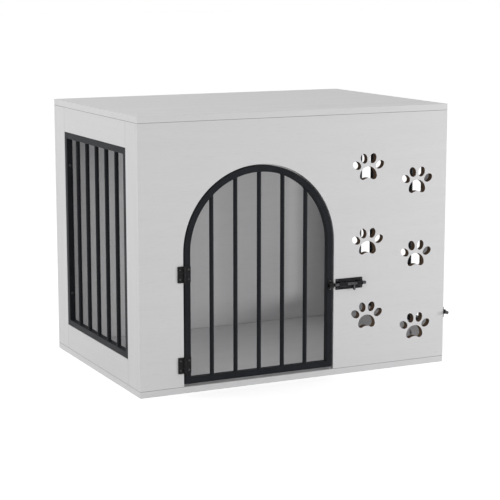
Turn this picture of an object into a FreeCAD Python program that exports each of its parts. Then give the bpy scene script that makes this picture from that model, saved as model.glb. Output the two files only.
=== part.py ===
import FreeCAD, Part
import math
import os

# Dog crate end table: a flat-pack board cabinet with a fixed grille in its left side, a barred
# door in its right side and an arched barred door in its front. All sizes are in millimetres.
# X runs to the right, Y to the back and Z up, from the centre of the cabinet's underside.

# Cabinet and its boards
cabinet_width = 800.0
cabinet_depth = 550.0
cabinet_height = 634.0
top_thickness = 15.0
base_thickness = 15.0
front_thickness = 15.0
side_thickness = 15.0
back_thickness = 12.0
board_edge_chamfer = 0.5

# Openings that hold the grille and the doors
front_stile_width = 58.0
rear_stile_width = 61.0
side_rail_height = 60.0
doorway_width = 386.0
doorway_height = 500.0
doorway_centre_x = -100.0

# Welded steel grille and doors: square tube round the edge, round bars between
tube_size = 15.0
tube_corner_radius = 1.5
bar_diameter = 10.0
bar_count = 5
door_gap = 3.0
door_floor_gap = 6.0
seat_gap = 0.3

# Paw cut-outs in the front panel: two staggered columns
paw_rows = 3
paw_first_x = 183.5
paw_first_z = 115.5
paw_row_pitch = 178.0
paw_column_pitch = 134.5
paw_column_drop = 39.0
pad_radius = 23.0
pad_lobe_radius = 8.5
pad_notch_depth = 4.0
toe_length = 24.0
toe_width = 18.0
inner_toe_x = 12.2
inner_toe_z = 41.7
inner_toe_tilt = 15.0
outer_toe_x = 31.0
outer_toe_z = 26.2
outer_toe_tilt = 55.0

# Butt hinges
hinge_height = 37.5
hinge_leaf_width = 16.0
hinge_leaf_thickness = 2.0
hinge_corner_radius = 1.5
knuckle_radius = 3.0
hinge_pin_radius = 1.5
pin_head_radius = 2.4
pin_head_height = 1.0
knuckle_play = 0.3
running_clearance = 0.05
hinge_screw_spacing = 22.0
hinge_screw_inset = 5.5
front_lower_hinge_z = 65.7
front_upper_hinge_z = 275.5
side_hinge_inset = 60.0

# Barrel bolts
latch_plate_length = 72.0
latch_plate_height = 26.0
latch_plate_thickness = 1.5
latch_corner_radius = 2.0
latch_rod_radius = 4.0
latch_rod_length = 84.0
latch_rod_chamfer = 0.8
latch_loop_wall = 1.6
latch_rod_clearance = 0.1
keeper_clearance = 1.0
near_loop_start = 7.0
near_loop_length = 21.0
far_loop_start = 56.0
far_loop_length = 13.0
latch_screw_spacing = 19.0
latch_screw_inset = 4.0
keeper_width = 12.0
knob_from_tip = 53.5
knob_drop = 13.2
knob_radius = 3.2
knob_stem_radius = 2.2
tip_to_door = 2.0
front_latch_z = 219.0
front_latch_setback = 4.5
side_latch_z = 123.7
side_latch_setback = 0.8

# Hardware screws
screw_radius = 1.3
screw_head_radius = 2.4
screw_head_height = 1.1
board_screw_length = 12.0
tube_screw_length = 8.0
grille_screw_radius = 1.8
grille_screw_head_radius = 3.4
grille_screw_length = 32.0
grille_screw_spacing = 320.0

# Cam locks, their bolts and the dowels
cam_radius = 7.5
cam_depth = 12.5
cam_setback = 34.0
cam_spacing_y = 300.0
cam_inset_z = 95.0
cam_bolt_radius = 3.0
cam_bolt_embed = 9.0
bolt_bore_clearance = 0.5
dowel_radius = 4.0
dowel_length = 30.0
dowel_face_embed = 10.0
dowel_spacing_y = 180.0
dowel_pair_spacing = 30.0

# Places worked out from the sizes above
left_x = -cabinet_width / 2
right_x = cabinet_width / 2
front_y = -cabinet_depth / 2
back_y = cabinet_depth / 2
side_front_y = front_y + front_thickness
side_back_y = back_y - back_thickness
side_bottom_z = base_thickness
side_top_z = cabinet_height - top_thickness
opening_low_z = side_bottom_z + side_rail_height
opening_high_z = side_top_z - side_rail_height
opening_front_y = side_front_y + front_stile_width
opening_back_y = side_back_y - rear_stile_width
opening_middle_y = (opening_front_y + opening_back_y) / 2
opening_half_width = (opening_back_y - opening_front_y) / 2
doorway_left_x = doorway_centre_x - doorway_width / 2
doorway_right_x = doorway_centre_x + doorway_width / 2
arch_spring_z = side_bottom_z + doorway_height - doorway_width / 2
side_hinge_low_z = opening_low_z + door_gap + side_hinge_inset
side_hinge_high_z = opening_high_z - door_gap - side_hinge_inset

match_tolerance = 0.001
x_way = FreeCAD.Vector(1, 0, 0)
y_way = FreeCAD.Vector(0, 1, 0)
z_way = FreeCAD.Vector(0, 0, 1)


def point(x, y, z):
    return FreeCAD.Vector(x, y, z)


def box(x0, x1, y0, y1, z0, z1):
    return Part.makeBox(x1 - x0, y1 - y0, z1 - z0, point(x0, y0, z0))


def round_bar(start, way, length, radius):
    return Part.makeCylinder(radius, length, start, way)


def board(x0, x1, y0, y1, z0, z1):
    """A laminated board with its edges just taken off."""
    blank = box(x0, x1, y0, y1, z0, z1)
    return blank.makeChamfer(board_edge_chamfer, blank.Edges)


def joined(shapes):
    return shapes[0].multiFuse(shapes[1:]).removeSplitter()


def edges_across(shape, y_length):
    """The edges of a flat piece that run along Y for this length: its corners, seen from the front."""
    return [edge for edge in shape.Edges if abs(edge.BoundBox.YLength - y_length) < match_tolerance]


# A wall's hardware is drawn in the wall's own frame: X along the wall, Y into it from its outer
# face and Z up. The hinges are at the low X end. These three put it on the cabinet.

def on_front(shape):
    return shape.translated(point(0, front_y, 0))


def on_right(shape):
    turned = shape.mirror(point(0, 0, 0), x_way).rotated(point(0, 0, 0), z_way, 90)
    return turned.translated(point(right_x, opening_middle_y, 0))


def on_left(shape):
    turned = shape.rotated(point(0, 0, 0), z_way, -90)
    return turned.translated(point(left_x, opening_middle_y, 0))


# Paw cut-outs

def toe_cut(x, z, tilt):
    """A leaning elliptical toe; tilt leans its top towards +X."""
    lean = math.radians(tilt)
    long_way = point(math.sin(lean), 0, math.cos(lean))
    centre = point(x, front_y, z)
    tip = centre + long_way * (toe_length / 2)
    side = centre + long_way.cross(y_way) * (toe_width / 2)
    outline = Part.Ellipse(tip, side, centre).toShape()
    return Part.Face(Part.Wire(outline)).extrude(y_way * front_thickness)


def pad_cut(x, z):
    """The heel pad: a half-round top, two round lobes below and a shallow notch between them."""
    def at(dx, dz):
        return point(x + dx, front_y, z + dz)

    reach = pad_radius - pad_lobe_radius
    rise = pad_lobe_radius - pad_notch_depth
    notch_radius = (reach ** 2 + rise ** 2 - pad_lobe_radius ** 2) / (2 * pad_notch_depth)
    share = pad_lobe_radius / (pad_lobe_radius + notch_radius)
    meet_x = reach * (1 - share)
    meet_z = -(rise + notch_radius) * share
    edges = [
        Part.Arc(at(pad_radius, 0), at(0, pad_radius), at(-pad_radius, 0)).toShape(),
        Part.Arc(at(-pad_radius, 0), at(-reach, -pad_lobe_radius), at(-meet_x, meet_z)).toShape(),
        Part.Arc(at(-meet_x, meet_z), at(0, -rise), at(meet_x, meet_z)).toShape(),
        Part.Arc(at(meet_x, meet_z), at(reach, -pad_lobe_radius), at(pad_radius, 0)).toShape(),
    ]
    return Part.Face(Part.Wire(edges)).extrude(y_way * front_thickness)


def paw_cuts(x, z):
    cuts = [pad_cut(x, z)]
    for side in (-1, 1):
        cuts.append(toe_cut(x + side * inner_toe_x, z + inner_toe_z, side * inner_toe_tilt))
        cuts.append(toe_cut(x + side * outer_toe_x, z + outer_toe_z, side * outer_toe_tilt))
    return cuts


# Steel frames and bars, in a wall's own frame

def arch_block(centre_x, width, low_z, depth):
    """A block with a half-round top that springs at the doorway's spring line."""
    half = width / 2
    corners = [
        point(centre_x - half, 0, arch_spring_z),
        point(centre_x - half, 0, low_z),
        point(centre_x + half, 0, low_z),
        point(centre_x + half, 0, arch_spring_z),
    ]
    crown = Part.Arc(corners[3], point(centre_x, 0, arch_spring_z + half), corners[0])
    sides = Part.makePolygon(corners)
    return Part.Face(Part.Wire(sides.Edges + [crown.toShape()])).extrude(y_way * depth)


def bar_places(inner_width):
    """Bar centres that leave equal gaps across the inner width, measured from its middle."""
    pitch = (inner_width + bar_diameter) / (bar_count + 1)
    return [(number - (bar_count - 1) / 2) * pitch for number in range(bar_count)]


def tube_frame(outer, inner):
    """A frame of square tube, with the tube's long corners rounded front and back."""
    frame = outer.cut(inner)
    return frame.makeFillet(tube_corner_radius, edges_across(frame, 0))


def arched_grille():
    """The front door's frame, and its bars cut to the frame's inner outline."""
    low_z = side_bottom_z + door_floor_gap
    width = doorway_width - 2 * door_gap
    inner_width = width - 2 * tube_size
    outer = arch_block(doorway_centre_x, width, low_z, tube_size)
    inner = arch_block(doorway_centre_x, inner_width, low_z + tube_size, tube_size)
    bars = []
    for place in bar_places(inner_width):
        foot = point(doorway_centre_x + place, tube_size / 2, low_z)
        bars.append(round_bar(foot, z_way, cabinet_height, bar_diameter / 2).common(inner))
    return tube_frame(outer, inner), bars


def square_grille(gap):
    """A frame that fills a side opening but for the gap round it, and its bars."""
    half = opening_half_width - gap
    low_z = opening_low_z + gap
    high_z = opening_high_z - gap
    outer = box(-half, half, 0, tube_size, low_z, high_z)
    inner_half = half - tube_size
    inner_low = low_z + tube_size
    inner_high = high_z - tube_size
    inner = box(-inner_half, inner_half, 0, tube_size, inner_low, inner_high)
    bars = []
    for place in bar_places(2 * inner_half):
        foot = point(place, tube_size / 2, inner_low)
        bars.append(round_bar(foot, z_way, inner_high - inner_low, bar_diameter / 2))
    return tube_frame(outer, inner), bars


# Hardware, in a wall's own frame. A screw's bore takes in what it passes through.

def wall_plate(x0, x1, z0, z1, thickness, corner_radius, rounded_ends):
    """A flat plate on the wall. The corners at the rounded ends, given by their X, are rounded."""
    blank = box(x0, x1, -thickness, 0, z0, z1)
    corners = []
    for edge in edges_across(blank, thickness):
        for end_x in rounded_ends:
            if abs(edge.CenterOfMass.x - end_x) < match_tolerance:
                corners.append(edge)
    return blank.makeFillet(corner_radius, corners)


def screw(x, z, seat_y, length):
    seat = point(x, seat_y, z)
    head = round_bar(seat, -y_way, screw_head_height, screw_head_radius)
    shank = round_bar(seat, y_way, length, screw_radius)
    return joined([head, shank])


def screw_bore(x, z, seat_y, length):
    return round_bar(point(x, seat_y, z), y_way, length, screw_radius)


def screw_set(places, seat_y, length):
    screws = [screw(x, z, seat_y, length) for x, z in places]
    bores = [screw_bore(x, z, seat_y, length) for x, z in places]
    return screws, bores


def hinge(pin_x, centre_z):
    """A three-knuckle butt hinge whose knuckles stand just proud of the wall, over the gap."""
    low_z = centre_z - hinge_height / 2
    third = hinge_height / 3
    pin_y = -(knuckle_radius + seat_gap)
    sweep = knuckle_radius + seat_gap
    ends_z = (low_z, low_z + 2 * third)

    def turned(z, length, radius):
        return round_bar(point(pin_x, pin_y, z), z_way, length, radius)

    def leaf(knuckle_x, end_x):
        ends = sorted((knuckle_x, end_x))
        high_z = low_z + hinge_height
        return wall_plate(*ends, low_z, high_z, hinge_leaf_thickness, hinge_corner_radius, [end_x])

    face_y = -hinge_leaf_thickness
    fixed = leaf(pin_x, pin_x - hinge_leaf_width)
    fixed = fixed.cut(turned(low_z + third, third, sweep))
    fixed = joined([fixed] + [turned(z, third, knuckle_radius) for z in ends_z])
    fixed = fixed.cut(turned(low_z, hinge_height, hinge_pin_radius))

    moving = leaf(pin_x + seat_gap, pin_x + hinge_leaf_width)
    moving = moving.cut(turned(low_z, third + knuckle_play, sweep))
    moving = moving.cut(turned(low_z + 2 * third - knuckle_play, third + knuckle_play, sweep))
    middle = turned(low_z + third + knuckle_play, third - 2 * knuckle_play, knuckle_radius)
    moving = joined([moving, middle])
    moving = moving.cut(turned(low_z, hinge_height, hinge_pin_radius + running_clearance))

    pin = joined([
        turned(low_z, hinge_height, hinge_pin_radius),
        turned(low_z - pin_head_height, pin_head_height, pin_head_radius),
        turned(low_z + hinge_height, pin_head_height, pin_head_radius),
    ])

    reach = hinge_leaf_width - hinge_screw_inset
    heights = (centre_z - hinge_screw_spacing / 2, centre_z + hinge_screw_spacing / 2)
    board_places = [(pin_x - reach, z) for z in heights]
    tube_places = [(pin_x + reach, z) for z in heights]
    board_screws, board_bores = screw_set(board_places, face_y, board_screw_length)
    tube_screws, tube_bores = screw_set(tube_places, face_y, tube_screw_length)
    return {
        "fixed_leaf": fixed.cut(board_bores),
        "door_leaf": moving.cut(tube_bores),
        "pin": pin,
        "board_screws": board_screws,
        "board_bores": board_bores,
        "door_screws": tube_screws,
        "door_bores": tube_bores,
    }


def rod_loop(start_x, length, z, clearance):
    """A loop over the rod: straight legs from the plate and a half-round crown."""
    foot_y = -latch_plate_thickness
    rod_y = latch_rod_y()

    def tunnel(radius):
        corners = [
            point(start_x, rod_y, z + radius),
            point(start_x, foot_y, z + radius),
            point(start_x, foot_y, z - radius),
            point(start_x, rod_y, z - radius),
        ]
        crown = Part.Arc(corners[3], point(start_x, rod_y - radius, z), corners[0])
        legs = Part.makePolygon(corners)
        return Part.Face(Part.Wire(legs.Edges + [crown.toShape()])).extrude(x_way * length)

    bore_radius = latch_rod_radius + clearance
    return tunnel(bore_radius + latch_loop_wall).cut(tunnel(bore_radius))


def latch_rod_y():
    return -(latch_plate_thickness + seat_gap + latch_rod_radius)


def latch(opening_x, door_x, setback, z):
    """A barrel bolt drawn back clear of the door, and the keeper on the door's stile."""
    plate_x = opening_x + setback
    face_y = -latch_plate_thickness
    half_height = latch_plate_height / 2

    def base_plate(x0, x1):
        thickness = latch_plate_thickness
        z0 = z - half_height
        z1 = z + half_height
        return wall_plate(x0, x1, z0, z1, thickness, latch_corner_radius, [x0, x1])

    plate = base_plate(plate_x, plate_x + latch_plate_length)
    near = rod_loop(plate_x + near_loop_start, near_loop_length, z, latch_rod_clearance)
    far = rod_loop(plate_x + far_loop_start, far_loop_length, z, latch_rod_clearance)
    plate = joined([plate, near, far])

    tip_x = door_x + tip_to_door
    rod = round_bar(point(tip_x, latch_rod_y(), z), x_way, latch_rod_length, latch_rod_radius)
    rims = [edge for edge in rod.Edges if isinstance(edge.Curve, Part.Circle)]
    rod = rod.makeChamfer(latch_rod_chamfer, rims)

    knob_x = tip_x + knob_from_tip
    stem_top = point(knob_x, latch_rod_y(), z)
    stem = round_bar(stem_top, -z_way, knob_drop, knob_stem_radius)
    ball = Part.makeSphere(knob_radius, point(knob_x, latch_rod_y(), z - knob_drop))
    saddle_radius = latch_rod_radius + latch_rod_clearance
    saddle = round_bar(point(tip_x, latch_rod_y(), z), x_way, latch_rod_length, saddle_radius)
    knob = joined([stem, ball]).cut(saddle)

    keeper_x = door_x - tube_size / 2 - keeper_width / 2
    keeper = base_plate(keeper_x, keeper_x + keeper_width)
    keeper = joined([keeper, rod_loop(keeper_x, keeper_width, z, keeper_clearance)])

    heights = (z - latch_screw_spacing / 2, z + latch_screw_spacing / 2)
    ends = (plate_x + latch_screw_inset, plate_x + latch_plate_length - latch_screw_inset)
    board_places = [(x, height) for x in ends for height in heights]
    keeper_places = [(keeper_x + keeper_width / 2, height) for height in heights]
    board_screws, board_bores = screw_set(board_places, face_y, board_screw_length)
    keeper_screws, keeper_bores = screw_set(keeper_places, face_y, tube_screw_length)
    return {
        "plate": plate.cut(board_bores),
        "rod": rod,
        "knob": knob,
        "keeper": keeper.cut(keeper_bores),
        "board_screws": board_screws,
        "board_bores": board_bores,
        "door_screws": keeper_screws,
        "door_bores": keeper_bores,
    }


def grille_screws():
    """Screws from the grille's inner faces, through its stiles and into the side's stiles."""
    seat_x = opening_half_width - seat_gap - tube_size
    middle_z = (opening_low_z + opening_high_z) / 2
    screws = []
    bores = []
    for side in (-1, 1):
        for rise in (-grille_screw_spacing / 2, grille_screw_spacing / 2):
            seat = point(side * seat_x, tube_size / 2, middle_z + rise)
            way = x_way * side
            head = round_bar(seat, -way, screw_head_height, grille_screw_head_radius)
            shank = round_bar(seat, way, grille_screw_length, grille_screw_radius)
            screws.append(joined([head, shank]))
            bores.append(shank)
    return screws, bores


# Joints between the boards

def cam_joint(edge_point, out_way, inward_way):
    """A cam in a side board's inner face and the bolt that it draws, at one point of the edge."""
    centre = edge_point - out_way * cam_setback
    face = centre + inward_way * (side_thickness / 2)
    bolt_length = cam_setback + cam_bolt_embed
    bolt = round_bar(centre, out_way, bolt_length, cam_bolt_radius)
    pocket = round_bar(face, -inward_way, cam_depth, cam_radius)
    edge_bore = round_bar(centre, out_way, cam_setback, cam_bolt_radius + bolt_bore_clearance)
    return pocket.cut(edge_bore), bolt, [pocket, edge_bore, bolt]


def cam_joints():
    cams = []
    bolts = []
    bores = []
    middle_z = (side_bottom_z + side_top_z) / 2
    rise = middle_z - side_bottom_z - cam_inset_z
    for side in (-1, 1):
        board_x = side * (cabinet_width - side_thickness) / 2
        places = []
        for y in (-cam_spacing_y / 2, cam_spacing_y / 2):
            places.append((point(board_x, opening_middle_y + y, side_top_z), z_way))
            places.append((point(board_x, opening_middle_y + y, side_bottom_z), -z_way))
        for z in (middle_z - rise, middle_z + rise):
            places.append((point(board_x, side_front_y, z), -y_way))
            places.append((point(board_x, side_back_y, z), y_way))
        for edge_point, out_way in places:
            cam, bolt, holes = cam_joint(edge_point, out_way, -x_way * side)
            cams.append(cam)
            bolts.append(bolt)
            bores.extend(holes)
    return cams, bolts, bores


def dowels():
    """Dowels from the top and base into the side boards, and from the rails into the stiles."""
    pins = []
    rail_middles = (side_bottom_z + side_rail_height / 2, side_top_z - side_rail_height / 2)
    face_low_z = side_bottom_z - dowel_face_embed
    face_high_z = side_top_z + dowel_face_embed - dowel_length
    for side in (-1, 1):
        board_x = side * (cabinet_width - side_thickness) / 2
        for y in (-dowel_spacing_y / 2, dowel_spacing_y / 2):
            for z in (face_low_z, face_high_z):
                start = point(board_x, opening_middle_y + y, z)
                pins.append(round_bar(start, z_way, dowel_length, dowel_radius))
        for middle_z in rail_middles:
            for z in (middle_z - dowel_pair_spacing / 2, middle_z + dowel_pair_spacing / 2):
                for joint_y in (opening_front_y, opening_back_y):
                    start = point(board_x, joint_y - dowel_length / 2, z)
                    pins.append(round_bar(start, y_way, dowel_length, dowel_radius))
    return pins


def front_panel():
    panel = board(left_x, right_x, front_y, side_front_y, side_bottom_z, side_top_z)
    cuts = [on_front(arch_block(doorway_centre_x, doorway_width, side_bottom_z, front_thickness))]
    for row in range(paw_rows):
        row_z = paw_first_z + row * paw_row_pitch
        cuts.extend(paw_cuts(paw_first_x, row_z))
        cuts.extend(paw_cuts(paw_first_x + paw_column_pitch, row_z - paw_column_drop))
    return panel.cut(cuts)


def side_boards(name, side):
    """The two stiles and two rails that frame a side opening."""
    outer = side * cabinet_width / 2
    inner = side * (cabinet_width / 2 - side_thickness)
    x0 = min(outer, inner)
    x1 = max(outer, inner)
    front = opening_front_y
    back = opening_back_y
    return {
        name + "_front_stile": board(x0, x1, side_front_y, front, side_bottom_z, side_top_z),
        name + "_rear_stile": board(x0, x1, back, side_back_y, side_bottom_z, side_top_z),
        name + "_top_rail": board(x0, x1, front, back, opening_high_z, side_top_z),
        name + "_bottom_rail": board(x0, x1, front, back, side_bottom_z, opening_low_z),
    }


def build():
    cams, cam_bolts, cam_bores = cam_joints()
    dowel_pins = dowels()
    left_screws, left_bores = grille_screws()
    left_screws = [on_left(shape) for shape in left_screws]
    left_bores = [on_left(shape) for shape in left_bores]

    front_pin_x = doorway_left_x + door_gap / 2
    side_pin_x = -opening_half_width + door_gap / 2
    front_hardware = {
        "lower_hinge": hinge(front_pin_x, front_lower_hinge_z),
        "upper_hinge": hinge(front_pin_x, front_upper_hinge_z),
        "latch": latch(doorway_right_x, doorway_right_x - door_gap, front_latch_setback, front_latch_z),
    }
    side_door_x = opening_half_width - door_gap
    right_hardware = {
        "lower_hinge": hinge(side_pin_x, side_hinge_low_z),
        "upper_hinge": hinge(side_pin_x, side_hinge_high_z),
        "latch": latch(opening_half_width, side_door_x, side_latch_setback, side_latch_z),
    }
    walls = {"front": (on_front, front_hardware), "right": (on_right, right_hardware)}

    pieces = {}
    board_screws = []
    board_bores = cam_bores + dowel_pins + left_bores
    door_screws = {}
    door_bores = {}
    for wall, (place, hardware) in walls.items():
        door_screws[wall] = []
        door_bores[wall] = []
        for fitting, shapes in hardware.items():
            board_screws += [place(shape) for shape in shapes["board_screws"]]
            board_bores += [place(shape) for shape in shapes["board_bores"]]
            door_screws[wall] += [place(shape) for shape in shapes["door_screws"]]
            door_bores[wall] += [place(shape) for shape in shapes["door_bores"]]
            for piece, shape in shapes.items():
                if not isinstance(shape, list):
                    pieces[f"{wall}_{fitting}_{piece}"] = place(shape)

    boards = {
        "top_board": board(left_x, right_x, front_y, back_y, side_top_z, cabinet_height),
        "bottom_board": board(left_x, right_x, front_y, back_y, 0, side_bottom_z),
        "front_panel": front_panel(),
        "back_panel": board(left_x, right_x, side_back_y, back_y, side_bottom_z, side_top_z),
    }
    boards.update(side_boards("left", -1))
    boards.update(side_boards("right", 1))
    for name, blank in boards.items():
        pieces[name] = blank.cut(board_bores)

    grille_frame, grille_bars = square_grille(seat_gap)
    front_frame, front_bars = arched_grille()
    right_frame, right_bars = square_grille(door_gap)
    pieces["left_grille_frame"] = on_left(grille_frame).cut(left_bores)
    pieces["front_door_frame"] = on_front(front_frame).cut(door_bores["front"])
    pieces["right_door_frame"] = on_right(right_frame).cut(door_bores["right"])
    for number in range(bar_count):
        pieces[f"left_grille_bar_{number + 1}"] = on_left(grille_bars[number])
        pieces[f"front_door_bar_{number + 1}"] = on_front(front_bars[number])
        pieces[f"right_door_bar_{number + 1}"] = on_right(right_bars[number])

    pieces["left_grille_screws"] = Part.makeCompound(left_screws)
    pieces["cabinet_hardware_screws"] = Part.makeCompound(board_screws)
    pieces["front_door_screws"] = Part.makeCompound(door_screws["front"])
    pieces["right_door_screws"] = Part.makeCompound(door_screws["right"])
    pieces["cam_locks"] = Part.makeCompound(cams)
    pieces["cam_bolts"] = Part.makeCompound(cam_bolts)
    pieces["dowels"] = Part.makeCompound(dowel_pins)
    return pieces


os.makedirs("parts", exist_ok=True)
for node, shape in build().items():
    shape.exportStep(f"parts/{node}.step")
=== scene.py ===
import math

import bmesh
import bpy
from mathutils import Matrix, Vector


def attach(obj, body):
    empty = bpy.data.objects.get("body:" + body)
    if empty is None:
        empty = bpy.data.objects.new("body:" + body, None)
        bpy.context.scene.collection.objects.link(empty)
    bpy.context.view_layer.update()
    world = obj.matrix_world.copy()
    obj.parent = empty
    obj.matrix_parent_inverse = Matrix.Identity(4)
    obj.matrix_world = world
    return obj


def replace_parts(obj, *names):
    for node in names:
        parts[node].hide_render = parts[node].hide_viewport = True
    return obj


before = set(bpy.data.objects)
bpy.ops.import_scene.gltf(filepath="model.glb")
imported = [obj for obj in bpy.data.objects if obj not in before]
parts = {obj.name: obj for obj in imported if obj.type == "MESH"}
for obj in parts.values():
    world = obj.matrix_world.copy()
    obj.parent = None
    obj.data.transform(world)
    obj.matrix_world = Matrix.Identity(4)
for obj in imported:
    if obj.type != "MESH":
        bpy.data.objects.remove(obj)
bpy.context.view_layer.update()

# ---------------------------------------------------------------------------
# Bottom board. 15 mm MDF under everything, faced on both sides with pale grey
# melamine paper that has a faint printed grain, and edge-banded all round.
# Dowels and cam bolts come up through it into the side boards.


def shader_group(name, inputs, outputs):
    """A shader node group with named inputs, given with their values, and named outputs."""
    group = bpy.data.node_groups.new(name, "ShaderNodeTree")
    for label, kind, value in inputs:
        socket = group.interface.new_socket(label, in_out="INPUT", socket_type=kind)
        if value is not None:
            socket.default_value = value
    for label, kind in outputs:
        group.interface.new_socket(label, in_out="OUTPUT", socket_type=kind)
    return group, group.nodes.new("NodeGroupInput"), group.nodes.new("NodeGroupOutput")


def add_node(tree, kind, inputs=(), **settings):
    """A node with these settings, each input set to a value or linked to a socket."""
    node = tree.nodes.new(kind)
    for name, value in settings.items():
        setattr(node, name, value)
    for key, value in dict(inputs).items():
        if isinstance(value, bpy.types.NodeSocket):
            tree.links.new(value, node.inputs[key])
        else:
            node.inputs[key].default_value = value
    return node


def mix_colours(tree, amount, below, above):
    """The colour below, with the colour above laid over it by this amount."""
    node = add_node(tree, "ShaderNodeMix", {0: amount, 6: below, 7: above}, data_type="RGBA")
    return node.outputs[2]


def ranged(tree, value, low, high, to_low=0.0, to_high=1.0):
    """The value, spread from low..high to to_low..to_high and held there."""
    node = add_node(tree, "ShaderNodeMapRange", {
        "Value": value, "From Min": low, "From Max": high, "To Min": to_low, "To Max": to_high})
    return node.outputs["Result"]


def noise(tree, vector, scale, detail):
    """A soft noise from 0 to 1 over the surface, this many cells to a metre."""
    node = add_node(tree, "ShaderNodeTexNoise", {
        "Vector": vector, "Scale": scale, "Detail": detail})
    return node.outputs["Fac"]


def bumped(tree, surface, height, strength, distance, inward=False):
    """Raises the surface, or sinks it, by this height."""
    node = add_node(tree, "ShaderNodeBump", {
        "Height": height, "Strength": strength, "Distance": distance}, invert=inward)
    tree.links.new(node.outputs["Normal"], surface.inputs["Normal"])


def new_material(name):
    """A material, its node tree, its plain Principled BSDF and its object coordinates."""
    material = bpy.data.materials.new(name)
    material.use_nodes = True
    tree = material.node_tree
    place = add_node(tree, "ShaderNodeTexCoord").outputs["Object"]
    return material, tree, tree.nodes["Principled BSDF"], place


def shade(material, *names):
    """Gives these CAD parts the material in every slot."""
    for name in names:
        mesh = parts[name].data
        if not mesh.materials:
            mesh.materials.append(material)
        for slot_number in range(len(mesh.materials)):
            mesh.materials[slot_number] = material


# Printed grain: long soft streaks along X, with short darker pores in them.
grain_group, grain_in, grain_out = shader_group(
    "printed_grain",
    [("Vector", "NodeSocketVector", None), ("Streaks per metre", "NodeSocketFloat", 45.0)],
    [("Streaks", "NodeSocketFloat"), ("Pores", "NodeSocketFloat")],
)
streak_stretch = 20.0
drifts_per_metre = 2.5
drift_reach = 0.04
pores_per_streak = 14.0
along_board = add_node(grain_group, "ShaderNodeMapping", {
    "Vector": grain_in.outputs["Vector"], "Scale": (1.0 / streak_stretch, 1.0, 1.0)})
drift = add_node(grain_group, "ShaderNodeTexNoise", {
    "Vector": grain_in.outputs["Vector"], "Scale": drifts_per_metre, "Detail": 1.0})
drift_across = add_node(grain_group, "ShaderNodeVectorMath", {
    0: drift.outputs["Color"], 1: (0.0, drift_reach, drift_reach)}, operation="MULTIPLY")
drifted = add_node(grain_group, "ShaderNodeVectorMath", {
    0: along_board.outputs["Vector"], 1: drift_across.outputs["Vector"]}, operation="ADD")
broad = add_node(grain_group, "ShaderNodeTexNoise", {
    "Vector": drifted.outputs["Vector"], "Scale": grain_in.outputs["Streaks per metre"],
    "Detail": 5.0, "Roughness": 0.62})
pore_scale = add_node(grain_group, "ShaderNodeMath", {
    0: grain_in.outputs["Streaks per metre"], 1: pores_per_streak}, operation="MULTIPLY")
fine = noise(grain_group, drifted.outputs["Vector"], pore_scale.outputs["Value"],
             detail=2.0)
grain_group.links.new(ranged(grain_group, broad.outputs["Fac"], 0.33, 0.67),
                      grain_out.inputs["Streaks"])
grain_group.links.new(ranged(grain_group, fine, 0.57, 0.72), grain_out.inputs["Pores"])

# Worn edge: 1 where the surface turns within the given reach, broken up by chips.
wear_group, wear_in, wear_out = shader_group(
    "worn_edge",
    [("Vector", "NodeSocketVector", None), ("Reach", "NodeSocketFloat", 0.0007),
     ("Chips per metre", "NodeSocketFloat", 240.0)],
    [("Wear", "NodeSocketFloat")],
)
rounded = add_node(wear_group, "ShaderNodeBevel", {
    "Radius": wear_in.outputs["Reach"]}, samples=4)
facing = add_node(wear_group, "ShaderNodeNewGeometry")
agreement = add_node(wear_group, "ShaderNodeVectorMath", {
    0: rounded.outputs["Normal"], 1: facing.outputs["True Normal"]}, operation="DOT_PRODUCT")
chips = noise(wear_group, wear_in.outputs["Vector"], wear_in.outputs["Chips per metre"],
              detail=3.0)
worn = add_node(wear_group, "ShaderNodeMath", {
    0: ranged(wear_group, agreement.outputs["Value"], 0.97, 0.80),
    1: ranged(wear_group, chips, 0.42, 0.62)}, operation="MULTIPLY")
wear_group.links.new(worn.outputs["Value"], wear_out.inputs["Wear"])


def worn_over(tree, place, colour, bared, reach=0.0007, chips_per_metre=240.0):
    """The colour, with the bared colour over it where the edges are worn."""
    wear = add_node(tree, "ShaderNodeGroup", node_tree=wear_group)
    tree.links.new(place, wear.inputs["Vector"])
    wear.inputs["Reach"].default_value = reach
    wear.inputs["Chips per metre"].default_value = chips_per_metre
    return mix_colours(tree, wear.outputs["Wear"], colour, bared)


# Joint shade: 1 in the fine groove where the top and bottom boards meet the rest, and in the one
# where the sides' rails meet their stiles. There the melamine gets painted shade, with a little
# dust.
joint_group, joint_in, joint_out = shader_group(
    "joint_shade_line",
    [("Vector", "NodeSocketVector", None), ("Groove", "NodeSocketFloat", 0.0006)],
    [("Board joint shade", "NodeSocketFloat"), ("Rail joint shade", "NodeSocketFloat")],
)
joint_place = add_node(joint_group, "ShaderNodeSeparateXYZ", {"Vector": joint_in.outputs["Vector"]})
joint_facing = add_node(joint_group, "ShaderNodeNewGeometry")
joint_normal = add_node(joint_group, "ShaderNodeSeparateXYZ", {
    "Vector": joint_facing.outputs["True Normal"]})
groove_core = 0.0002
face_on_limit = 0.9


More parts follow.
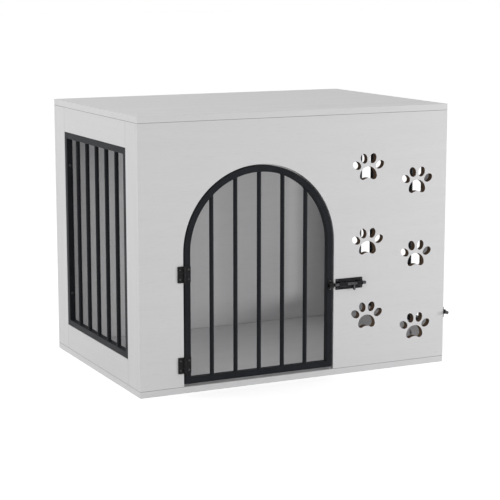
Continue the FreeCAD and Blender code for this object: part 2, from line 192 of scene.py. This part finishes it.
def joint_nearness(axis, middle, half_span):
    """How near a point is to either of two joints that lie evenly about a middle."""
    from_middle = add_node(joint_group, "ShaderNodeMath", {
        0: joint_place.outputs[axis], 1: middle}, operation="SUBTRACT")
    outward = add_node(joint_group, "ShaderNodeMath", {0: from_middle.outputs[0]},
                       operation="ABSOLUTE")
    from_joint = add_node(joint_group, "ShaderNodeMath", {
        0: outward.outputs[0], 1: half_span}, operation="SUBTRACT")
    distance = add_node(joint_group, "ShaderNodeMath", {0: from_joint.outputs[0]},
                        operation="ABSOLUTE")
    near = add_node(joint_group, "ShaderNodeMapRange", {
        "Value": distance.outputs[0], "From Min": joint_in.outputs["Groove"],
        "From Max": groove_core})
    flatness = add_node(joint_group, "ShaderNodeMath", {0: joint_normal.outputs[axis]},
                        operation="ABSOLUTE")
    off_flat = add_node(joint_group, "ShaderNodeMath", {0: flatness.outputs[0], 1: face_on_limit},
                        operation="LESS_THAN")
    kept = add_node(joint_group, "ShaderNodeMath", {
        0: near.outputs["Result"], 1: off_flat.outputs[0]}, operation="MULTIPLY")
    return kept.outputs[0]


board_joint_middle_z = 0.317
board_joint_half_span = 0.302
rail_joint_half_span = 0.202
joint_group.links.new(joint_nearness("Z", board_joint_middle_z, board_joint_half_span),
                      joint_out.inputs["Board joint shade"])
joint_group.links.new(joint_nearness("Y", 0.0, rail_joint_half_span),
                      joint_out.inputs["Rail joint shade"])

melamine_pale = (0.652, 0.649, 0.656, 1.0)
melamine_streak = (0.637, 0.633, 0.640, 1.0)
melamine_pore = (0.575, 0.570, 0.576, 1.0)
melamine_rubbed = (0.710, 0.706, 0.710, 1.0)
# Painted shade, with a little dust, for the fine grooves at the board joints.
melamine_joint_shade_and_dust = (0.180, 0.174, 0.178, 1.0)
melamine_roughness = (0.50, 0.56)
melamine_specular = 0.35
pore_strength = 0.45
rail_joint_shade_strength = 0.6
grain_turn = {"X": (0.0, 0.0, 0.0), "Y": (0.0, 0.0, math.pi / 2), "Z": (0.0, math.pi / 2, 0.0)}


def melamine(name, along, sheet_offset, on_a_side=False):
    """Melamine-faced board with its grain along one axis, cut from its own place in the sheet.
    A side's boards also get painted shade, with a little dust, in the joints between rails and
    stiles."""
    material, tree, surface, place = new_material(name)
    cut = add_node(tree, "ShaderNodeMapping", {
        "Vector": place, "Location": sheet_offset, "Rotation": grain_turn[along]})
    grain = add_node(tree, "ShaderNodeGroup", node_tree=grain_group)
    tree.links.new(cut.outputs["Vector"], grain.inputs["Vector"])
    colour = mix_colours(tree, grain.outputs["Streaks"], melamine_pale, melamine_streak)
    pore_amount = ranged(tree, grain.outputs["Pores"], 0.0, 1.0, 0.0, pore_strength)
    colour = mix_colours(tree, pore_amount, colour, melamine_pore)
    colour = worn_over(tree, place, colour, melamine_rubbed)
    joint = add_node(tree, "ShaderNodeGroup", node_tree=joint_group)
    tree.links.new(place, joint.inputs["Vector"])
    # Painted shade, with a little dust, in the board joints' grooves, and fainter in a side's rail
    # joints.
    colour = mix_colours(tree, joint.outputs["Board joint shade"], colour, melamine_joint_shade_and_dust)
    if on_a_side:
        faint = ranged(tree, joint.outputs["Rail joint shade"], 0.0, 1.0, 0.0, rail_joint_shade_strength)
        colour = mix_colours(tree, faint, colour, melamine_joint_shade_and_dust)
    tree.links.new(colour, surface.inputs["Base Color"])
    tree.links.new(ranged(tree, grain.outputs["Streaks"], 0.0, 1.0, *melamine_roughness),
                   surface.inputs["Roughness"])
    bumped(tree, surface, grain.outputs["Pores"], strength=0.10, distance=0.0002, inward=True)
    surface.inputs["Specular IOR Level"].default_value = melamine_specular
    return material


shade(melamine("melamine_bottom", "X", (0.0, 0.0, 0.0)), "bottom_board")

# ---------------------------------------------------------------------------
# Dowels. 8 mm beech pins glued between the boards, hidden in their bores.

beech_pale = (0.560, 0.380, 0.215, 1.0)
beech_fleck = (0.400, 0.245, 0.125, 1.0)
beech_roughness = (0.55, 0.70)
beech, tree, surface, place = new_material("beech")
fibres = noise(tree, place, scale=900.0, detail=4.0)
fleck = ranged(tree, fibres, 0.45, 0.65)
tree.links.new(mix_colours(tree, fleck, beech_pale, beech_fleck), surface.inputs["Base Color"])
tree.links.new(ranged(tree, fleck, 0.0, 1.0, *beech_roughness), surface.inputs["Roughness"])
shade(beech, "dowels")

# ---------------------------------------------------------------------------
# Cam bolts. Zinc-plated steel bolts screwed into the front, back, top and
# bottom boards; their shafts run down the side boards' edges to the cams.

zinc_bright = (0.560, 0.565, 0.575, 1.0)
zinc_dull = (0.380, 0.385, 0.400, 1.0)
zinc_roughness = (0.28, 0.45)
zinc, tree, surface, place = new_material("zinc")
cast = noise(tree, place, scale=700.0, detail=4.0)
bloom = ranged(tree, cast, 0.38, 0.66)
tree.links.new(mix_colours(tree, bloom, zinc_bright, zinc_dull), surface.inputs["Base Color"])
tree.links.new(ranged(tree, bloom, 0.0, 1.0, *zinc_roughness), surface.inputs["Roughness"])
bumped(tree, surface, cast, strength=0.15, distance=0.0002)
surface.inputs["Metallic"].default_value = 1.0
shade(zinc, "cam_bolts")

# ---------------------------------------------------------------------------
# Side boards. Each side is two upright stiles with a rail above and below its
# opening, 15 mm board like the rest, dowelled together. The grain runs along
# each piece.

shade(melamine("melamine_left_front_stile", "Z", (0.31, 0.12, 0.0), True), "left_front_stile")
shade(melamine("melamine_left_rear_stile", "Z", (1.27, 0.44, 0.0), True), "left_rear_stile")
shade(melamine("melamine_left_rails", "Y", (2.13, 0.83, 0.2), True),
      "left_top_rail", "left_bottom_rail")
shade(melamine("melamine_right_stiles", "Z", (3.71, 0.57, 0.0), True),
      "right_front_stile", "right_rear_stile")
shade(melamine("melamine_right_rails", "Y", (4.43, 0.29, 0.1), True),
      "right_top_rail", "right_bottom_rail")

# ---------------------------------------------------------------------------
# Cam locks. Die-cast zinc drums pressed flush into the side boards' inner
# faces. A cross slot in the face takes the screwdriver that turns them.

cam_radius = 0.0075
cam_depth = 0.0125
cam_rim = 0.0005
cam_slot_half_width = 0.0009
cam_slot_reach = 0.0044
cam_slot_depth = 0.0026
recess_taper = 0.8
same_place = 1e-6


def turn_round(mesh, outline, steps):
    """Turns an outline of (radius, height) points round the Z axis into a closed shape."""
    points = [mesh.verts.new((radius, 0.0, height)) for radius, height in outline]
    lines = [mesh.edges.new(pair) for pair in zip(points, points[1:])]
    bmesh.ops.spin(mesh, geom=points + lines, cent=(0.0, 0.0, 0.0), axis=(0.0, 0.0, 1.0),
                   angle=2.0 * math.pi, steps=steps, use_merge=True, use_duplicate=False)
    bmesh.ops.remove_doubles(mesh, verts=mesh.verts, dist=same_place)


def sink_cross(mesh, top, half_width, reach, depth):
    """Sinks a cross-shaped recess into the flat face at height top."""
    for way in (Vector((1.0, 0.0, 0.0)), Vector((0.0, 1.0, 0.0))):
        for distance in (-reach, -half_width, half_width, reach):
            faces = [face for face in mesh.faces
                     if all(abs(corner.co.z - top) < same_place for corner in face.verts)]
            edges = list({edge for face in faces for edge in face.edges})
            corners = list({corner for face in faces for corner in face.verts})
            bmesh.ops.bisect_plane(mesh, geom=faces + edges + corners, dist=1e-7,
                                   plane_co=way * distance, plane_no=way)
    arms = []
    for face in mesh.faces:
        middle = face.calc_center_median()
        across, up = sorted((abs(middle.x), abs(middle.y)))
        if abs(middle.z - top) < same_place and across < half_width and up < reach:
            arms.append(face)
    sunk = bmesh.ops.extrude_face_region(mesh, geom=arms)
    floor_points = [item for item in sunk["geom"] if isinstance(item, bmesh.types.BMVert)]
    bmesh.ops.delete(mesh, geom=[face for face in arms if face.is_valid], context="FACES_ONLY")
    bmesh.ops.scale(mesh, vec=(recess_taper, recess_taper, 1.0), verts=floor_points)
    bmesh.ops.translate(mesh, vec=(0.0, 0.0, -depth), verts=floor_points)


def set_in_place(mesh, seat, outward, turn):
    """Points a shape's Z axis outward, turns it about that axis and moves it to its seat."""
    bmesh.ops.recalc_face_normals(mesh, faces=mesh.faces)
    pointed = Vector(outward).to_track_quat("Z", "Y").to_matrix().to_4x4()
    spun = Matrix.Rotation(turn, 4, "Z")
    bmesh.ops.transform(mesh, matrix=Matrix.Translation(seat) @ pointed @ spun, verts=mesh.verts)


def gather(target, single):
    """Adds one finished shape to the mesh that holds its whole group, and frees it."""
    whole = bpy.data.meshes.new("single")
    single.to_mesh(whole)
    single.free()
    target.from_mesh(whole)
    bpy.data.meshes.remove(whole)


def make_piece(name, mesh, material, body):
    """Turns a finished mesh into a named piece that rides on its body."""
    data = bpy.data.meshes.new(name)
    mesh.to_mesh(data)
    mesh.free()
    data.materials.append(material)
    piece = bpy.data.objects.new(name, data)
    bpy.context.scene.collection.objects.link(piece)
    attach(piece, body)
    return piece


inner_face_x = 0.385
cam_turn = 0.7
cams = bmesh.new()
cam_places = [(side, y, z) for side in (-1, 1) for y, z in (
    (-0.150, 0.049), (0.150, 0.049), (-0.150, 0.585), (0.150, 0.585),
    (-0.226, 0.110), (0.229, 0.110), (-0.226, 0.524), (0.229, 0.524))]
for number, (side, y, z) in enumerate(cam_places):
    cam = bmesh.new()
    turn_round(cam, [(0.0, 0.0), (cam_radius - cam_rim, 0.0), (cam_radius, -cam_rim),
                     (cam_radius, -cam_depth), (0.0, -cam_depth)], 32)
    sink_cross(cam, 0.0, cam_slot_half_width, cam_slot_reach, cam_slot_depth)
    set_in_place(cam, (side * inner_face_x, y, z), (-side, 0.0, 0.0), cam_turn * number)
    gather(cams, cam)
cam_piece = make_piece("cam_lock_drums", cams, zinc, "cabinet")
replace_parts(cam_piece, "cam_locks")

# ---------------------------------------------------------------------------
# Back panel. One 12 mm melamine board between the top and bottom boards.

shade(melamine("melamine_back", "X", (5.20, 0.66, 0.3)), "back_panel")

# ---------------------------------------------------------------------------
# Front panel. One melamine board across the whole front. The doorway is edge
# banded; the six paws are routed through it and show the bare brown MDF core.

mdf_brown = (0.150, 0.098, 0.062, 1.0)
mdf_dark = (0.060, 0.037, 0.023, 1.0)
mdf_roughness = 0.9
cut_wall_limit = 0.5
paws_start = 0.125
paws_end = 0.375
front_melamine = melamine("melamine_front", "X", (6.90, 0.17, 0.4))
tree = front_melamine.node_tree
surface = tree.nodes["Principled BSDF"]
place = tree.nodes["Texture Coordinate"].outputs["Object"]
where = add_node(tree, "ShaderNodeSeparateXYZ", {"Vector": place})
facing = add_node(tree, "ShaderNodeNewGeometry")
facing_parts = add_node(tree, "ShaderNodeSeparateXYZ", {"Vector": facing.outputs["True Normal"]})
sideways = add_node(tree, "ShaderNodeMath", {0: facing_parts.outputs["Y"]}, operation="ABSOLUTE")
cut_wall = add_node(tree, "ShaderNodeMath", {0: sideways.outputs[0], 1: cut_wall_limit},
                    operation="LESS_THAN")
past_start = add_node(tree, "ShaderNodeMath", {0: where.outputs["X"], 1: paws_start},
                      operation="GREATER_THAN")
before_end = add_node(tree, "ShaderNodeMath", {0: where.outputs["X"], 1: paws_end},
                      operation="LESS_THAN")
among_paws = add_node(tree, "ShaderNodeMath", {
    0: past_start.outputs[0], 1: before_end.outputs[0]}, operation="MULTIPLY")
bare = add_node(tree, "ShaderNodeMath", {
    0: cut_wall.outputs[0], 1: among_paws.outputs[0]}, operation="MULTIPLY").outputs[0]
pressed = noise(tree, place, scale=1400.0, detail=4.0)
mdf_colour = mix_colours(tree, ranged(tree, pressed, 0.38, 0.62), mdf_brown, mdf_dark)
faced = surface.inputs["Base Color"].links[0].from_socket
tree.links.new(mix_colours(tree, bare, faced, mdf_colour), surface.inputs["Base Color"])
gloss = surface.inputs["Roughness"].links[0].from_socket
dulled = add_node(tree, "ShaderNodeMix", {0: bare, 2: gloss, 3: mdf_roughness})
tree.links.new(dulled.outputs[0], surface.inputs["Roughness"])
shade(front_melamine, "front_panel")

# ---------------------------------------------------------------------------
# Top board. Laid over the sides, front and back; its grain runs with the width.

shade(melamine("melamine_top", "X", (8.10, 0.52, 0.7)), "top_board")

# ---------------------------------------------------------------------------
# Left grille. A welded frame of 15 mm square steel tube with five 10 mm round
# bars, powder coated satin black. It is screwed into the left side's opening.

coat_black = (0.0112, 0.0122, 0.0148, 1.0)
coat_lighter = (0.0150, 0.0164, 0.0194, 1.0)
coat_rubbed = (0.036, 0.037, 0.041, 1.0)
coat_roughness = (0.42, 0.52)
coat_specular = 0.08
powder_coat, tree, surface, place = new_material("powder_coat")
cloud = noise(tree, place, scale=28.0, detail=3.0)
orange_peel = noise(tree, place, scale=750.0, detail=2.0)
colour = mix_colours(tree, ranged(tree, cloud, 0.35, 0.65), coat_black, coat_lighter)
tree.links.new(worn_over(tree, place, colour, coat_rubbed, reach=0.0009),
               surface.inputs["Base Color"])
tree.links.new(ranged(tree, cloud, 0.3, 0.7, *coat_roughness), surface.inputs["Roughness"])
bumped(tree, surface, orange_peel, strength=0.22, distance=0.0003)
surface.inputs["Specular IOR Level"].default_value = coat_specular
shade(powder_coat, "left_grille_frame", *[f"left_grille_bar_{n}" for n in range(1, 6)])

# ---------------------------------------------------------------------------
# Welds on the left grille. A small bead runs round both ends of every bar where
# it meets the square tube, coated over with the rest.

bar_radius = 0.005
bar_numbers = range(-2, 3)
bead_reach = 0.0014
bead_rise = 0.0015
bead_root = 0.0002
grille_bar_spacing = 0.0639
grille_bar_x = -0.3925
grille_bar_bottom = 0.0903
grille_bar_top = 0.5437


def add_bead(mesh, centre, inward, tilt=0.0):
    """A weld bead round a bar's end: inward is the tube face's normal, and tilt the angle
    between it and the bar, which stretches the bead into an oval."""
    bead = bmesh.new()
    turn_round(bead, [(bar_radius - bead_root, -bead_root), (bar_radius - bead_root, bead_rise),
                      (bar_radius + 0.25 * bead_reach, 0.88 * bead_rise),
                      (bar_radius + 0.62 * bead_reach, 0.58 * bead_rise),
                      (bar_radius + 0.90 * bead_reach, 0.24 * bead_rise),
                      (bar_radius + bead_reach, -bead_root),
                      (bar_radius - bead_root, -bead_root)], 28)
    bmesh.ops.scale(bead, vec=(1.0 / math.cos(tilt), 1.0, 1.0), verts=bead.verts)
    bmesh.ops.recalc_face_normals(bead, faces=bead.faces)
    facing = Vector(inward).to_track_quat("Z", "Y").to_matrix().to_4x4()
    if abs(facing.col[1][1]) < 0.5:
        facing = facing @ Matrix.Rotation(math.pi / 2, 4, "Z")
    bmesh.ops.transform(bead, matrix=Matrix.Translation(centre) @ facing, verts=bead.verts)
    gather(mesh, bead)


weld_roughness = (0.34, 0.46)
weld_specular = 0.12
weld_coat, tree, surface, place = new_material("weld_coat")
puddle = noise(tree, place, scale=420.0, detail=1.0)
ripples = noise(tree, place, scale=950.0, detail=2.0)
tree.links.new(mix_colours(tree, ranged(tree, puddle, 0.35, 0.65), coat_black, coat_lighter),
               surface.inputs["Base Color"])
tree.links.new(ranged(tree, puddle, 0.3, 0.7, *weld_roughness), surface.inputs["Roughness"])
bumped(tree, surface, ripples, strength=0.6, distance=0.0006)
surface.inputs["Specular IOR Level"].default_value = weld_specular

grille_welds = bmesh.new()
for number in bar_numbers:
    y = number * grille_bar_spacing
    add_bead(grille_welds, (grille_bar_x, y, grille_bar_bottom), (0.0, 0.0, 1.0))
    add_bead(grille_welds, (grille_bar_x, y, grille_bar_top), (0.0, 0.0, -1.0))
make_piece("left_grille_welds", grille_welds, weld_coat, "cabinet")

# ---------------------------------------------------------------------------
# Grille screws. Four blackened pan-head screws go through the frame's upright
# tubes into the stiles' edges.

grille_head_radius = 0.0034
grille_shank_radius = 0.0018
grille_screw_length = 0.032
head_height = 0.0011
thread_pitch = 0.0016
thread_start = 0.0006


def pan_head_screw(head_radius, shank_radius, length, steps=20):
    """A pan-head screw with a cross recess: its head's seat at zero, its head along +Z."""
    mesh = bmesh.new()
    outline = [(0.0, head_height), (0.72 * head_radius, head_height),
               (0.90 * head_radius, 0.80 * head_height), (head_radius, 0.40 * head_height),
               (head_radius, 0.0), (shank_radius, 0.0)]
    core = 0.72 * shank_radius
    depth = thread_start
    while depth < length - 2.5 * thread_pitch:
        outline += [(core, -depth), (core, -depth - 0.45 * thread_pitch),
                    (shank_radius, -depth - 0.7 * thread_pitch)]
        depth += thread_pitch
    outline += [(core, -depth), (0.0, -length)]
    turn_round(mesh, outline, steps)
    sink_cross(mesh, head_height, 0.14 * head_radius, 0.56 * head_radius, 0.75 * head_height)
    return mesh


black_zinc_colour = (0.022, 0.022, 0.024, 1.0)
black_zinc_sheen = (0.085, 0.085, 0.090, 1.0)
black_zinc_roughness = (0.26, 0.42)
black_zinc_metal = 0.6
black_zinc, tree, surface, place = new_material("black_zinc")
mottle = noise(tree, place, scale=1500.0, detail=3.0)
colour = mix_colours(tree, ranged(tree, mottle, 0.45, 0.70), black_zinc_colour, black_zinc_sheen)
tree.links.new(worn_over(tree, place, colour, zinc_dull, reach=0.0003),
               surface.inputs["Base Color"])
tree.links.new(ranged(tree, mottle, 0.3, 0.7, *black_zinc_roughness),
               surface.inputs["Roughness"])
surface.inputs["Metallic"].default_value = black_zinc_metal

grille_screw_across = 0.1867
grille_screw_heights = (0.157, 0.477)
grille_screw_turn = 0.9
grille_screw_seats = [(y, z) for y in (-grille_screw_across, grille_screw_across)
                      for z in grille_screw_heights]
grille_screws = bmesh.new()
for number, (y, z) in enumerate(grille_screw_seats):
    single = pan_head_screw(grille_head_radius, grille_shank_radius, grille_screw_length)
    set_in_place(single, (grille_bar_x, y, z), (0.0, -math.copysign(1.0, y), 0.0),
                 grille_screw_turn * number)
    gather(grille_screws, single)
grille_screw_piece = make_piece("grille_pan_head_screws", grille_screws, black_zinc, "cabinet")
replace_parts(grille_screw_piece, "left_grille_screws")

# ---------------------------------------------------------------------------
# Front door. Arched square-tube frame with five round bars welded into it,
# powder coated like the grille. It swings in the doorway, flush with the panel.

shade(powder_coat, "front_door_frame", *[f"front_door_bar_{n}" for n in range(1, 6)])

arch_centre_x = -0.100
arch_centre_z = 0.322
arch_inner_radius = 0.175
door_bar_spacing = 0.060
door_bar_y = -0.2675
door_bar_bottom = 0.036
front_welds = bmesh.new()
for number in bar_numbers:
    across = number * door_bar_spacing
    lean = math.asin(across / arch_inner_radius)
    add_bead(front_welds, (arch_centre_x + across, door_bar_y, door_bar_bottom), (0.0, 0.0, 1.0))
    add_bead(front_welds,
             (arch_centre_x + across, door_bar_y,
              arch_centre_z + arch_inner_radius * math.cos(lean)),
             (-math.sin(lean), 0.0, -math.cos(lean)), lean)
make_piece("front_door_welds", front_welds, weld_coat, "front_door")

# ---------------------------------------------------------------------------
# Right door. The same tube and bars, square, swinging on the cabinet's right.

shade(powder_coat, "right_door_frame", *[f"right_door_bar_{n}" for n in range(1, 6)])

right_bar_spacing = 0.063
right_bar_x = 0.3925
right_bar_bottom = 0.093
right_bar_top = 0.541
right_welds = bmesh.new()
for number in bar_numbers:
    y = number * right_bar_spacing
    add_bead(right_welds, (right_bar_x, y, right_bar_bottom), (0.0, 0.0, 1.0))
    add_bead(right_welds, (right_bar_x, y, right_bar_top), (0.0, 0.0, -1.0))
make_piece("right_door_welds", right_welds, weld_coat, "right_door")

# ---------------------------------------------------------------------------
# Hinges. Four butt hinges with 2 mm steel leaves rolled round a pin, painted
# gloss black; the paint has rubbed off a little along the knuckles.

gloss_black = (0.0060, 0.0062, 0.0072, 1.0)
gloss_thin = (0.0110, 0.0114, 0.0128, 1.0)
bared_steel = (0.110, 0.110, 0.115, 1.0)
gloss_roughness = (0.20, 0.30)
gloss_specular = 0.14
gloss_paint, tree, surface, place = new_material("gloss_paint")
runs = noise(tree, place, scale=190.0, detail=3.0)
colour = mix_colours(tree, ranged(tree, runs, 0.38, 0.66), gloss_black, gloss_thin)
colour = worn_over(tree, place, colour, bared_steel, reach=0.0004, chips_per_metre=420.0)
tree.links.new(colour, surface.inputs["Base Color"])
tree.links.new(ranged(tree, runs, 0.3, 0.7, *gloss_roughness), surface.inputs["Roughness"])
bumped(tree, surface, runs, strength=0.12, distance=0.0003)
surface.inputs["Specular IOR Level"].default_value = gloss_specular
shade(gloss_paint, *[f"{wall}_{end}_hinge_{piece}" for wall in ("front", "right")
                     for end in ("lower", "upper")
                     for piece in ("fixed_leaf", "door_leaf", "pin")])

# ---------------------------------------------------------------------------
# Latches. Barrel bolts: a pressed plate with two loops on the cabinet, a round
# rod with a knob that slides in them, and a keeper loop on the door. Plates and
# keepers are painted like the hinges; rods and knobs are black nickel plated.

nickel_black = (0.095, 0.096, 0.101, 1.0)
nickel_smoky = (0.060, 0.060, 0.064, 1.0)
nickel_rubbed = (0.240, 0.236, 0.230, 1.0)
nickel_roughness = (0.13, 0.24)
black_nickel, tree, surface, place = new_material("black_nickel")
smoke = noise(tree, place, scale=160.0, detail=3.0)
colour = mix_colours(tree, ranged(tree, smoke, 0.35, 0.65), nickel_black, nickel_smoky)
colour = worn_over(tree, place, colour, nickel_rubbed, reach=0.0004, chips_per_metre=500.0)
tree.links.new(colour, surface.inputs["Base Color"])
tree.links.new(ranged(tree, smoke, 0.3, 0.7, *nickel_roughness), surface.inputs["Roughness"])
surface.inputs["Metallic"].default_value = 1.0
shade(gloss_paint, *[f"{wall}_latch_{piece}" for wall in ("front", "right")
                     for piece in ("plate", "keeper")])
shade(black_nickel, *[f"{wall}_latch_{piece}" for wall in ("front", "right")
                      for piece in ("rod", "knob")])

# ---------------------------------------------------------------------------
# Hardware screws. Small blackened pan-head screws: long ones hold the fixed
# leaves and latch plates to the boards, short ones go into the doors' tubes.

hardware_head_radius = 0.0024
hardware_shank_radius = 0.0013
board_screw_length = 0.012
tube_screw_length = 0.008
leaf_face_y = -0.277
plate_face_y = -0.2765
leaf_face_x = 0.402
plate_face_x = 0.4015
fixed_leaf_x = -0.302
door_leaf_x = -0.281
plate_ends_x = (0.1015, 0.1655)
keeper_x = 0.0825
fixed_leaf_y = 0.211
door_leaf_y = 0.190
plate_ends_y = (-0.2068, -0.2708)
keeper_y = -0.1915
hardware_screw_turn = 1.1
to_front = (0.0, -1.0, 0.0)
to_right = (1.0, 0.0, 0.0)
front_hinge_heights = (0.0547, 0.0767, 0.2645, 0.2865)
front_latch_heights = (0.2095, 0.2285)
right_hinge_heights = (0.127, 0.149, 0.485, 0.507)
right_latch_heights = (0.1142, 0.1332)


def screw_group(name, seats, length, body, node):
    """All the screws of one group, as one piece that stands for its CAD node."""
    screws = bmesh.new()
    for number, (seat, outward) in enumerate(seats):
        single = pan_head_screw(hardware_head_radius, hardware_shank_radius, length)
        set_in_place(single, seat, outward, hardware_screw_turn * number)
        gather(screws, single)
    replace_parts(make_piece(name, screws, black_zinc, body), node)


board_seats = [((fixed_leaf_x, leaf_face_y, z), to_front) for z in front_hinge_heights]
board_seats += [((x, plate_face_y, z), to_front) for x in plate_ends_x
                for z in front_latch_heights]
board_seats += [((leaf_face_x, fixed_leaf_y, z), to_right) for z in right_hinge_heights]
board_seats += [((plate_face_x, y, z), to_right) for y in plate_ends_y
                for z in right_latch_heights]
screw_group("board_pan_head_screws", board_seats, board_screw_length, "cabinet",
            "cabinet_hardware_screws")
front_seats = [((door_leaf_x, leaf_face_y, z), to_front) for z in front_hinge_heights]
front_seats += [((keeper_x, plate_face_y, z), to_front) for z in front_latch_heights]
screw_group("front_door_pan_head_screws", front_seats, tube_screw_length, "front_door",
            "front_door_screws")
right_seats = [((leaf_face_x, door_leaf_y, z), to_right) for z in right_hinge_heights]
right_seats += [((plate_face_x, keeper_y, z), to_right) for z in right_latch_heights]
screw_group("right_door_pan_head_screws", right_seats, tube_screw_length, "right_door",
            "right_door_screws")

# ---------------------------------------------------------------------------
# Floor. A plain white studio floor that the camera sees as white paper, with
# the cabinet's soft shadow kept on it.

floor_reach = 30.0
paper_grey = (0.72, 0.72, 0.72, 1.0)
paper_roughness = 0.9
paper_specular = 0.1
paper_lift = 0.53
paper_white = (1.0, 1.0, 1.0, 1.0)


def seen_directly(tree):
    """1 for what the camera, a reflection or a view through glass shows, and 0 for light."""
    path = add_node(tree, "ShaderNodeLightPath")
    camera_or_glossy = add_node(tree, "ShaderNodeMath", {
        0: path.outputs["Is Camera Ray"], 1: path.outputs["Is Glossy Ray"]},
        operation="MAXIMUM")
    any_of_three = add_node(tree, "ShaderNodeMath", {
        0: camera_or_glossy.outputs[0], 1: path.outputs["Is Transmission Ray"]},
        operation="MAXIMUM")
    return any_of_three.outputs[0]


floor_mesh = bmesh.new()
bmesh.ops.create_grid(floor_mesh, x_segments=2, y_segments=2, size=floor_reach)
floor_data = bpy.data.meshes.new("studio_floor")
floor_mesh.to_mesh(floor_data)
floor_mesh.free()
studio_floor = bpy.data.objects.new("studio_floor", floor_data)
bpy.context.scene.collection.objects.link(studio_floor)
floor_paper, tree, surface, _ = new_material("floor_paper")
surface.inputs["Base Color"].default_value = paper_grey
surface.inputs["Roughness"].default_value = paper_roughness
surface.inputs["Specular IOR Level"].default_value = paper_specular
lift = add_node(tree, "ShaderNodeMath", {0: seen_directly(tree), 1: paper_lift},
                operation="MULTIPLY")
glow = add_node(tree, "ShaderNodeEmission", {"Color": paper_white, "Strength": lift.outputs[0]})
both = add_node(tree, "ShaderNodeAddShader", {0: surface.outputs[0], 1: glow.outputs[0]})
tree.links.new(both.outputs[0], tree.nodes["Material Output"].inputs["Surface"])
floor_data.materials.append(floor_paper)

# ---------------------------------------------------------------------------
# Studio light. A pale room from all sides, two soft lamps on the left, a weak one
# in front and a low one on the right that shines in through the right door.

room_strength = 0.67
lamp_aim = Vector((0.0, 0.0, 0.3))
room = bpy.data.worlds.new("studio_room")
bpy.context.scene.world = room
room.use_nodes = True
tree = room.node_tree
tree.nodes.clear()
room_light = add_node(tree, "ShaderNodeBackground", {
    "Color": paper_white, "Strength": room_strength})
white_paper = add_node(tree, "ShaderNodeBackground", {"Color": paper_white, "Strength": 1.0})
shown = add_node(tree, "ShaderNodeMixShader", {
    0: seen_directly(tree), 1: room_light.outputs[0], 2: white_paper.outputs[0]})
add_node(tree, "ShaderNodeOutputWorld", {"Surface": shown.outputs[0]})


def soft_lamp(name, place, size, power):
    """A broad square lamp at a place, turned towards the middle of the cabinet."""
    data = bpy.data.lights.new(name, "AREA")
    data.shape = "RECTANGLE"
    data.size = size
    data.size_y = size
    data.energy = power
    lamp = bpy.data.objects.new(name, data)
    lamp.location = place
    lamp.rotation_mode = "QUATERNION"
    lamp.rotation_quaternion = (lamp_aim - Vector(place)).to_track_quat("-Z", "Y")
    bpy.context.scene.collection.objects.link(lamp)


soft_lamp("front_lamp", (0.0, -3.20, 0.47), 0.8, 4.5)
soft_lamp("right_lamp", (2.25, -1.30, 0.40), 0.5, 22.0)
soft_lamp("left_rear_lamp", (-2.65, 0.96, 1.33), 1.0, 19.0)
soft_lamp("left_front_lamp", (-1.84, -1.84, 1.80), 1.0, 8.5)

# ---------------------------------------------------------------------------
# Camera. A long lens in front on the left, a little above the table top, that
# looks at the cabinet's front and left side.

camera_azimuth = math.radians(-25.97)
camera_elevation = math.radians(9.97)
camera_data = bpy.data.cameras.new("camera")
camera_data.sensor_width = 36.0
camera_data.lens = 114.12
camera = bpy.data.objects.new("camera", camera_data)
camera.location = (-1.68856, -3.48209, 0.94579)
backward = Vector((math.sin(camera_azimuth) * math.cos(camera_elevation),
                   -math.cos(camera_azimuth) * math.cos(camera_elevation),
                   math.sin(camera_elevation)))
camera.rotation_mode = "QUATERNION"
camera.rotation_quaternion = (-backward).to_track_quat("-Z", "Y")
bpy.context.scene.collection.objects.link(camera)
bpy.context.scene.camera = camera
bpy.context.scene.view_settings.view_transform = "Standard"
